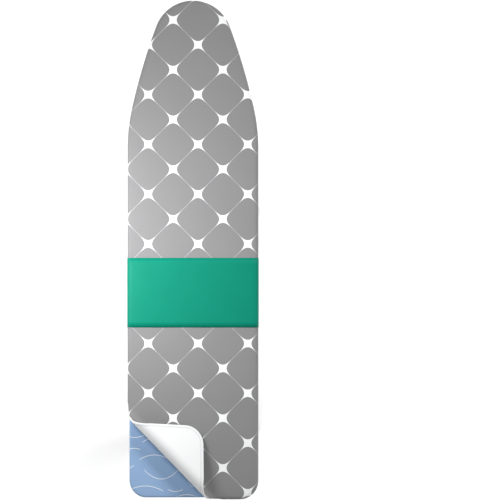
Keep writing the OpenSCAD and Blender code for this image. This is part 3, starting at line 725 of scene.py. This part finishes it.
printed_cotton, tree, shader = new_material("printed_cotton", Roughness=0.88, Sheen_Weight=0.18,
                                            Sheen_Roughness=0.45)
cut = add(tree, "ShaderNodeUVMap", uv_map="cut")
to_mm = add(tree, "ShaderNodeMapping", {"Vector": cut, "Scale": (1000, 1000, 1000),
                                        "Location": (-STAR_AT[0], -STAR_AT[1], 0)})
mm = add(tree, "ShaderNodeSeparateXYZ", {0: to_mm})
powers = []
for operation in ("ADD", "SUBTRACT"):
    slant = add(tree, "ShaderNodeMath", {0: mm, 1: mm.outputs[1]}, operation=operation)
    cell = add(tree, "ShaderNodeMath", {0: slant, 1: 2 * HALF_PITCH}, operation="DIVIDE")
    place = add(tree, "ShaderNodeMath", {0: cell}, operation="FRACT")
    across = add(tree, "ShaderNodeMath", {0: place, 1: 2, 2: -1}, operation="MULTIPLY_ADD")
    size = add(tree, "ShaderNodeMath", {0: across}, operation="ABSOLUTE")
    powers.append(add(tree, "ShaderNodeMath", {0: size, 1: SQUARENESS}, operation="POWER"))
total = add(tree, "ShaderNodeMath", {0: powers[0], 1: powers[1]}, operation="ADD")
edge = SQUARE_SIZE ** SQUARENESS
star = add(tree, "ShaderNodeMapRange", {"Value": total, "From Min": edge - 0.03,
                                        "From Max": edge + 0.05})
weft, warp = (add(tree, "ShaderNodeTexWave", {"Vector": to_mm, "Scale": BANDS, "Distortion": 0.6,
                                              "Detail": 1, "Detail Scale": 0.4},
                  bands_direction=axis) for axis in "XY")
weave = add(tree, "ShaderNodeMath", {0: weft.outputs[1], 1: warp.outputs[1]}, operation="MULTIPLY")
slub = add(tree, "ShaderNodeTexNoise", {"Vector": to_mm, "Scale": 0.22, "Detail": 5,
                                        "Roughness": 0.6})
drift = add(tree, "ShaderNodeTexNoise", {"Vector": to_mm, "Scale": 0.008, "Detail": 2})
half = add(tree, "ShaderNodeMath", {0: drift, 1: 0.5}, operation="MULTIPLY")
uneven = add(tree, "ShaderNodeMath", {0: slub, 1: 0.5, 2: half},
             operation="MULTIPLY_ADD")
ground = add(tree, "ShaderNodeMix", {0: uneven, 6: colour("#838384"), 7: colour("#8d8d8e")},
             data_type="RGBA")
shaded = add(tree, "ShaderNodeMix", {0: 0.12, 6: ground.outputs[2], 7: weave},
             data_type="RGBA", blend_type="OVERLAY")
print_face = add(tree, "ShaderNodeMix", {0: star, 6: shaded.outputs[2], 7: colour("#f4f5f5")},
                 data_type="RGBA")
tree.links.new(print_face.outputs[2], shader.inputs["Base Color"])
height = add(tree, "ShaderNodeMath", {0: slub, 1: 0.5, 2: weave},
             operation="MULTIPLY_ADD")
bump = add(tree, "ShaderNodeBump", {"Height": height, "Strength": 0.25, "Distance": 0.0003})
tree.links.new(bump.outputs[0], shader.inputs["Normal"])

# %% [markdown]
# ## White flannel backing
# The backing is a thick napped cotton, brushed until the weave is hidden under loose fibres. It
# scatters light evenly, with a soft sheen at grazing angles, and shows little tufts rather than
# threads. A row of stitches joins it to the face 6 mm from the edge. The mesh kept each point's depth
# from the edge and its place along the edge, and the stitches are drawn from those two numbers.

# %% White flannel
SEAM_AT, STITCH = 6, 4.2

flannel, tree, shader = new_material("brushed_flannel", Roughness=0.95, Sheen_Weight=0.35,
                                     Sheen_Roughness=0.6)
cut = add(tree, "ShaderNodeUVMap", uv_map="cut")
tufts = add(tree, "ShaderNodeTexNoise", {"Vector": cut, "Scale": 420, "Detail": 4,
                                         "Roughness": 0.7, "Distortion": 0.8})
pile = add(tree, "ShaderNodeTexNoise", {"Vector": cut, "Scale": 60, "Detail": 3})
white = add(tree, "ShaderNodeMix", {0: tufts, 6: colour("#dcdee0"), 7: colour("#f1f1f0")},
            data_type="RGBA")
deep = add(tree, "ShaderNodeAttribute", attribute_name="depth")
along = add(tree, "ShaderNodeAttribute", attribute_name="around")
off_seam = add(tree, "ShaderNodeMath", {0: deep.outputs["Fac"], 1: SEAM_AT}, operation="SUBTRACT")
seam_side = add(tree, "ShaderNodeMath", {0: off_seam}, operation="ABSOLUTE")
furrow = add(tree, "ShaderNodeMapRange", {"Value": seam_side, "From Min": 0.5,
                                          "From Max": 2.2, "To Min": 1, "To Max": 0})
stitch_no = add(tree, "ShaderNodeMath", {0: along.outputs["Fac"], 1: STITCH}, operation="DIVIDE")
in_stitch = add(tree, "ShaderNodeMath", {0: stitch_no}, operation="FRACT")
thread_on = add(tree, "ShaderNodeMath", {0: in_stitch, 1: 0.7}, operation="LESS_THAN")
thread = add(tree, "ShaderNodeMath", {0: thread_on, 1: furrow},
             operation="MULTIPLY")
seamed = add(tree, "ShaderNodeMix", {0: thread, 6: white.outputs[2],
                                     7: colour("#cdd0d3")}, data_type="RGBA")
tree.links.new(seamed.outputs[2], shader.inputs["Base Color"])
tufted = add(tree, "ShaderNodeMath", {0: pile, 1: 0.8, 2: tufts},
             operation="MULTIPLY_ADD")
nap = add(tree, "ShaderNodeMath", {0: furrow, 1: -1.3, 2: tufted},
          operation="MULTIPLY_ADD")
bump = add(tree, "ShaderNodeBump", {"Height": nap, "Strength": 0.4, "Distance": 0.0006})
tree.links.new(bump.outputs[0], shader.inputs["Normal"])

# %% [markdown]
# ## Blue cotton
# The cover underneath is thin blue cotton, printed with a loose scatter of fine white arcs. Each arc
# is a piece of a parabola: a point is on it where its distance from the curve is under half the
# line's width, and its place across is within the arc's reach. One arc takes a few nodes, so a loop
# makes them all from a list of places and sizes.

# %% Blue cotton
ARCS = (
    (-88, -480, 70, 11), (-72.5, -503, 78, -21), (-109, -552, 82, 12), (-136, -456, 30, 2),
    (-156, -493, 40, -8), (-2, -521, 22, -20), (-14, -568, 50, 8), (-134, -424, 44, -5),
    (-100, -440, 30, 7), (-40, -548, 34, -5),
)
LINE = 1.35

blue_cotton, tree, shader = new_material("blue_cotton", Roughness=0.86, Sheen_Weight=0.2,
                                         Sheen_Roughness=0.5)
cut = add(tree, "ShaderNodeUVMap", uv_map="cut")
to_mm = add(tree, "ShaderNodeMapping", {"Vector": cut, "Scale": (1000, 1000, 1000)})
mm = add(tree, "ShaderNodeSeparateXYZ", {0: to_mm})
ink = None
for x, y, wide, rise in ARCS:
    across = add(tree, "ShaderNodeMath", {0: mm, 1: x}, operation="SUBTRACT")
    share = add(tree, "ShaderNodeMath", {0: across, 1: wide / 2}, operation="DIVIDE")
    square = add(tree, "ShaderNodeMath", {0: share, 1: share}, operation="MULTIPLY")
    curve = add(tree, "ShaderNodeMath", {0: square, 1: -rise, 2: y + rise},
                operation="MULTIPLY_ADD")
    away = add(tree, "ShaderNodeMath", {0: mm.outputs[1], 1: curve}, operation="SUBTRACT")
    size = add(tree, "ShaderNodeMath", {0: away}, operation="ABSOLUTE")
    line = add(tree, "ShaderNodeMapRange", {"Value": size, "From Min": LINE * 0.35,
                                            "From Max": LINE * 0.75, "To Min": 1, "To Max": 0})
    within = add(tree, "ShaderNodeMath", {0: square, 1: 1}, operation="LESS_THAN")
    arc = add(tree, "ShaderNodeMath", {0: line, 1: within}, operation="MULTIPLY")
    ink = arc if ink is None else add(
        tree, "ShaderNodeMath", {0: ink, 1: arc}, operation="MAXIMUM")
slub = add(tree, "ShaderNodeTexNoise", {"Vector": to_mm, "Scale": 0.3, "Detail": 5})
ground = add(tree, "ShaderNodeMix", {0: slub, 6: colour("#84a3c8"), 7: colour("#98b6dc")},
             data_type="RGBA")
faded = add(tree, "ShaderNodeMath", {0: ink, 1: 0.92}, operation="MULTIPLY")
print_face = add(tree, "ShaderNodeMix", {0: faded, 6: ground.outputs[2], 7: colour("#eef4f8")},
                 data_type="RGBA")
tree.links.new(print_face.outputs[2], shader.inputs["Base Color"])
bump = add(tree, "ShaderNodeBump", {"Height": slub, "Strength": 0.2, "Distance": 0.0003})
tree.links.new(bump.outputs[0], shader.inputs["Normal"])

# %% [markdown]
# ## Needled felt, knitted elastic and coated paper
# Felt is off-white fibre matted by needles: no threads, fine tangled streaks. The casing is grey
# jersey with a fine knitted grain. The band is coated paper, printed solid green: smooth, a little
# glossy, with the faint mottle of ink on pulp.

# %% Felt
needled_felt, tree, shader = new_material("needled_felt", Roughness=0.97, Sheen_Weight=0.25)
place = add(tree, "ShaderNodeTexCoord")
fibre = add(tree, "ShaderNodeTexNoise", {"Vector": place.outputs["Object"], "Scale": 380, "Detail": 6,
                                         "Roughness": 0.75, "Distortion": 1.5})
matting = add(tree, "ShaderNodeMix", {0: fibre, 6: colour("#c9c7c0"), 7: colour("#eceae4")},
              data_type="RGBA")
tree.links.new(matting.outputs[2], shader.inputs["Base Color"])
bump = add(tree, "ShaderNodeBump", {"Height": fibre, "Strength": 0.5, "Distance": 0.0008})
tree.links.new(bump.outputs[0], shader.inputs["Normal"])

# %% Elastic casing
jersey, tree, shader = new_material("grey_jersey", Roughness=0.9, Sheen_Weight=0.2)
place = add(tree, "ShaderNodeTexCoord")
knit = add(tree, "ShaderNodeTexNoise", {"Vector": place.outputs["Object"], "Scale": 900, "Detail": 2})
grey = add(tree, "ShaderNodeMix", {0: knit, 6: colour("#6c6f73"), 7: colour("#94979b")},
           data_type="RGBA")
tree.links.new(grey.outputs[2], shader.inputs["Base Color"])
bump = add(tree, "ShaderNodeBump", {"Height": knit, "Strength": 0.5, "Distance": 0.0004})
tree.links.new(bump.outputs[0], shader.inputs["Normal"])

# %% Coated paper
coated_paper, tree, shader = new_material("coated_paper", Roughness=0.5, Specular_IOR_Level=0.15)
cut = add(tree, "ShaderNodeUVMap", uv_map="cut")
pulp = add(tree, "ShaderNodeTexNoise", {"Vector": cut, "Scale": 700, "Detail": 5})
cloud = add(tree, "ShaderNodeTexNoise", {"Vector": cut, "Scale": 18, "Detail": 2})
mottle = add(tree, "ShaderNodeMath", {0: pulp, 1: cloud}, operation="MULTIPLY")
green = add(tree, "ShaderNodeMix", {0: mottle, 6: colour("#007f68"), 7: colour("#028a72")},
            data_type="RGBA")
tree.links.new(green.outputs[2], shader.inputs["Base Color"])
gloss = add(tree, "ShaderNodeMapRange", {"Value": pulp, "To Min": 0.46, "To Max": 0.6})
tree.links.new(gloss.outputs[0], shader.inputs["Roughness"])
bump = add(tree, "ShaderNodeBump", {"Height": cloud, "Strength": 0.15, "Distance": 0.001})
tree.links.new(bump.outputs[0], shader.inputs["Normal"])

# %% [markdown]
# ## Powder-coated steel
# The frame, the legs and the mesh are welded from steel and powder coated in light silver grey. The
# powder melts into a film with a fine orange peel, 2 to 3 mm from crest to crest. It is satin, so
# the crests catch the light, and broad patches are a little duller. The mesh has the same film,
# rougher, with darker runs here and there.

# %% Powder coat on tube
powder_coat, tree, shader = new_material("powder_coated_tube", Metallic=0.25, Roughness=0.38)
place = add(tree, "ShaderNodeTexCoord")
peel = add(tree, "ShaderNodeTexNoise", {"Vector": place.outputs["Object"], "Scale": 420, "Detail": 2})
flake = add(tree, "ShaderNodeTexNoise", {"Vector": place.outputs["Object"], "Scale": 2600, "Detail": 1})
rub = add(tree, "ShaderNodeTexNoise", {"Vector": place.outputs["Object"], "Scale": 9, "Detail": 4})
silver = add(tree, "ShaderNodeMix", {0: flake, 6: colour("#8f9397"), 7: colour("#a6aaae")},
             data_type="RGBA")
dulled = add(tree, "ShaderNodeMapRange", {"Value": rub, "From Min": 0.35, "From Max": 0.7,
                                          "To Min": 0.30, "To Max": 0.46})
tree.links.new(silver.outputs[2], shader.inputs["Base Color"])
tree.links.new(dulled.outputs[0], shader.inputs["Roughness"])
bump = add(tree, "ShaderNodeBump", {"Height": peel, "Strength": 0.12, "Distance": 0.0004})
tree.links.new(bump.outputs[0], shader.inputs["Normal"])

# %% Powder coat on mesh
mesh_coat, tree, shader = new_material("powder_coated_mesh", Metallic=0.2, Roughness=0.5)
place = add(tree, "ShaderNodeTexCoord")
peel = add(tree, "ShaderNodeTexNoise", {"Vector": place.outputs["Object"], "Scale": 520, "Detail": 3})
runs = add(tree, "ShaderNodeTexNoise", {"Vector": place.outputs["Object"], "Scale": 34, "Detail": 3})
silver = add(tree, "ShaderNodeMix", {0: runs, 6: colour("#7f8386"), 7: colour("#a3a7aa")},
             data_type="RGBA")
tree.links.new(silver.outputs[2], shader.inputs["Base Color"])
bump = add(tree, "ShaderNodeBump", {"Height": peel, "Strength": 0.25, "Distance": 0.0004})
tree.links.new(bump.outputs[0], shader.inputs["Normal"])

# %% [markdown]
# ## Zinc-plated and spring steel
# The brackets are cut from hot-dip galvanised sheet, whose zinc froze in crystals: the spangle, 6 to
# 10 mm wide, each a slightly different grey. Rods and bolts are electroplated: bright, bluish, and
# drawn or turned, so they carry fine lines. Spring steel is oiled and darker, with a brown cast.

# %% Galvanised sheet
galvanised, tree, shader = new_material("galvanised_sheet", Metallic=1.0, Roughness=0.4)
place = add(tree, "ShaderNodeTexCoord")
spangle = add(tree, "ShaderNodeTexVoronoi", {"Vector": place.outputs["Object"], "Scale": 130,
                                             "Randomness": 1})
tone = add(tree, "ShaderNodeSeparateColor", {0: spangle.outputs["Color"]})
zinc = add(tree, "ShaderNodeMix", {0: tone, 6: colour("#a9adb0"), 7: colour("#c3c7ca")},
           data_type="RGBA")
satin = add(tree, "ShaderNodeMapRange", {"Value": tone.outputs[1], "To Min": 0.3, "To Max": 0.48})
tree.links.new(zinc.outputs[2], shader.inputs["Base Color"])
tree.links.new(satin.outputs[0], shader.inputs["Roughness"])

# %% Plated rods and bolts
zinc_plate, tree, shader = new_material("zinc_plated_steel", Metallic=1.0, Roughness=0.26)
place = add(tree, "ShaderNodeTexCoord")
drawn = add(tree, "ShaderNodeMapping", {"Vector": place.outputs["Object"], "Scale": (3000, 120, 3000)})
lines = add(tree, "ShaderNodeTexNoise", {"Vector": drawn, "Scale": 1, "Detail": 3})
bright = add(tree, "ShaderNodeMix", {0: lines, 6: colour("#b4b9be"), 7: colour("#d5d9dd")},
             data_type="RGBA")
fine = add(tree, "ShaderNodeMapRange", {"Value": lines, "To Min": 0.18, "To Max": 0.36})
tree.links.new(bright.outputs[2], shader.inputs["Base Color"])
tree.links.new(fine.outputs[0], shader.inputs["Roughness"])

# %% Spring steel
spring_steel, tree, shader = new_material("oiled_spring_steel", Metallic=1.0, Roughness=0.34)
place = add(tree, "ShaderNodeTexCoord")
temper = add(tree, "ShaderNodeTexNoise", {"Vector": place.outputs["Object"], "Scale": 90, "Detail": 5})
dark = add(tree, "ShaderNodeMix", {0: temper, 6: colour("#5f5d5a"), 7: colour("#8b8883")},
           data_type="RGBA")
oil = add(tree, "ShaderNodeMapRange", {"Value": temper, "To Min": 0.25, "To Max": 0.45})
tree.links.new(dark.outputs[2], shader.inputs["Base Color"])
tree.links.new(oil.outputs[0], shader.inputs["Roughness"])

# %% [markdown]
# ## Moulded plastic and rubber
# Feet, plugs, the carriage and the handle are injection moulded. The steel mould was spark eroded, so
# the plastic has a fine even grain that takes away its gloss, with soft flow marks. Polypropylene is
# waxy, glass-filled nylon is harder and a touch streaky, and rubber is almost matt, with bloom: a
# pale dust that comes to its surface. One loop makes the five, since only their numbers differ.

# %% Plastics and rubber
MOULDED = {
    "grey_polypropylene": ("#2f3133", "#3d3f41", 0.46, 900, 0.30),
    "black_nylon": ("#161718", "#242526", 0.40, 1100, 0.22),
    "black_rubber_bumper": ("#101010", "#26282a", 0.80, 420, 0.35),
    "handle_abs": ("#1b1c1e", "#2a2c2e", 0.36, 1000, 0.20),
    "soft_grip_rubber": ("#3b3d40", "#4d5053", 0.72, 640, 0.45),
}
plastics = {}
for name, (dark_hex, light_hex, gloss, grain_scale, depth) in MOULDED.items():
    plastics[name], tree, shader = new_material(name, Roughness=gloss, IOR=1.49)
    place = add(tree, "ShaderNodeTexCoord")
    grain = add(tree, "ShaderNodeTexNoise", {"Vector": place.outputs["Object"], "Scale": grain_scale,
                                             "Detail": 2})
    flow = add(tree, "ShaderNodeTexNoise", {"Vector": place.outputs["Object"], "Scale": 28, "Detail": 4,
                                            "Distortion": 0.6})
    tint = add(tree, "ShaderNodeMix", {0: flow, 6: colour(dark_hex), 7: colour(light_hex)},
               data_type="RGBA")
    satin = add(tree, "ShaderNodeMapRange", {"Value": flow, "To Min": gloss - 0.07,
                                             "To Max": gloss + 0.09})
    tree.links.new(tint.outputs[2], shader.inputs["Base Color"])
    tree.links.new(satin.outputs[0], shader.inputs["Roughness"])
    bump = add(tree, "ShaderNodeBump", {"Height": grain, "Strength": depth,
                                        "Distance": 0.0003})
    tree.links.new(bump.outputs[0], shader.inputs["Normal"])

# %% [markdown]
# ## The floor
# The floor is a plain pale sheet.

# %% Floor paint
floor_paint, tree, shader = new_material("pale_floor", Base_Color=colour("#f7f7f7"), Roughness=0.9)
floor.data.materials.append(floor_paint)

# %% [markdown]
# ## Put the finishes on
# The record names a material slot for every CAD node, so the slots say which finish each node gets.
# The new pieces get theirs one by one.

# %% Finishes
FINISH = {
    "cotton_grey": printed_cotton, "foam_white": flannel, "elastic_grey": jersey,
    "cotton_blue": blue_cotton, "felt": needled_felt, "paper_green": coated_paper,
    "mesh_steel": mesh_coat, "tube_paint": powder_coat, "zinc_sheet": galvanised,
    "zinc_steel": zinc_plate, "spring_steel": spring_steel,
    "black_rubber": plastics["black_rubber_bumper"], "foot_plastic": plastics["grey_polypropylene"],
    "black_plastic": plastics["black_nylon"], "handle_plastic": plastics["handle_abs"],
    "grip_rubber": plastics["soft_grip_rubber"],
}
for part in frame["record"]["subparts"]:
    holder = nodes[part["node"]]
    holder.data.materials.clear()
    holder.data.materials.append(FINISH[part["material_slot"]])
for piece, finish in ((cotton, printed_cotton), (backing, flannel), (blue, blue_cotton),
                      (felt, needled_felt), (elastic, jersey), (band, coated_paper),
                      *((cap, plastics["grey_polypropylene"]) for cap in caps)):
    piece.data.materials.append(finish)
